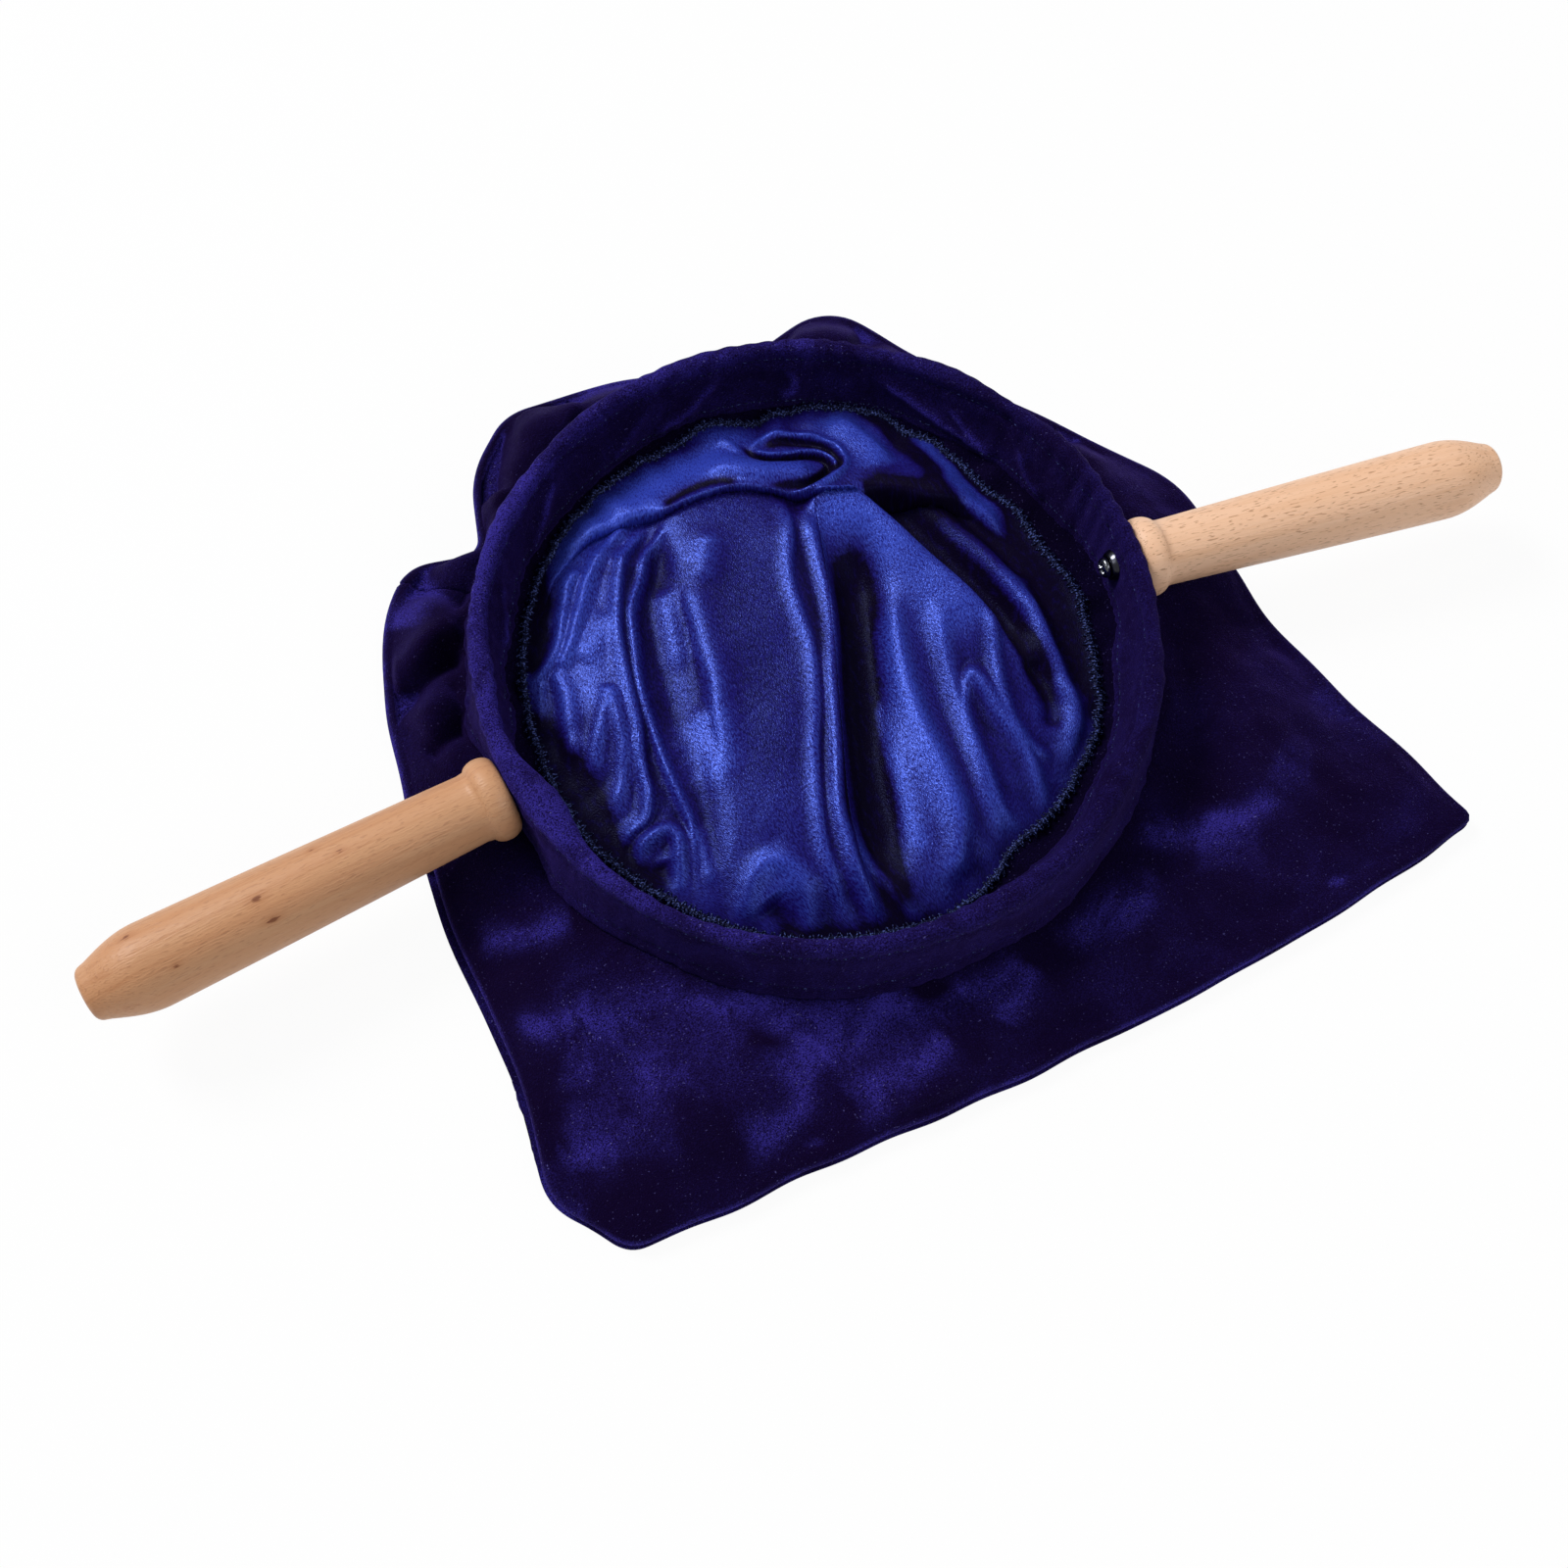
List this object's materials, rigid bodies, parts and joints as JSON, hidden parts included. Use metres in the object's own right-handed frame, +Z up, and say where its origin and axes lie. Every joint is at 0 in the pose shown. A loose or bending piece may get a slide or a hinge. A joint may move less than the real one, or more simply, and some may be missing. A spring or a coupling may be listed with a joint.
{
  "type": "offertory bag",
  "caption": "Velvet offertory bag with a satin lining on a round hoop with two turned wooden handles, lying flat with its mouth up.",
  "frame": {"origin": "on the table under the middle of the whole object's box", "axes": "+X along the two handles, +Y from the bag's bottom edge to its far side, +Z up out of the mouth"},
  "size_m": [0.533, 0.3154, 0.047],
  "materials": {
    "velvet": "dark indigo velvet with a short pile",
    "satin": "royal blue satin",
    "thread": "dark navy overlock thread",
    "beech": "turned beech, lightly varnished",
    "hoop_steel": "plain spring steel strip",
    "bright_steel": "bright nickel plate"
  },
  "bodies": {
    "bag": {"hoop": "hoop_steel", "hoop_casing": "velvet", "front_velvet_panel": "velvet", "back_velvet_panel": "velvet", "velvet_facing": "velvet", "left_lining_panel": "satin", "right_lining_panel": "satin", "overlock_seam": "thread", "left_cup_washer": "bright_steel", "right_cup_washer": "bright_steel"},
    "left_handle": {"left_handle": "beech", "left_screw": "bright_steel"},
    "right_handle": {"right_handle": "beech", "right_screw": "bright_steel"}
  },
  "joints": [
    {"name": "left_handle_turn", "type": "hinge", "parent": "bag", "child": "left_handle", "pos_m": [-0.11934, -0.00367, 0.031], "axis": [-0.9945, -0.1045, 0], "continuous": true},
    {"name": "right_handle_turn", "type": "hinge", "parent": "bag", "child": "right_handle", "pos_m": [0.11934, -0.00367, 0.031], "axis": [0.9945, -0.1045, 0], "continuous": true}
  ]
}
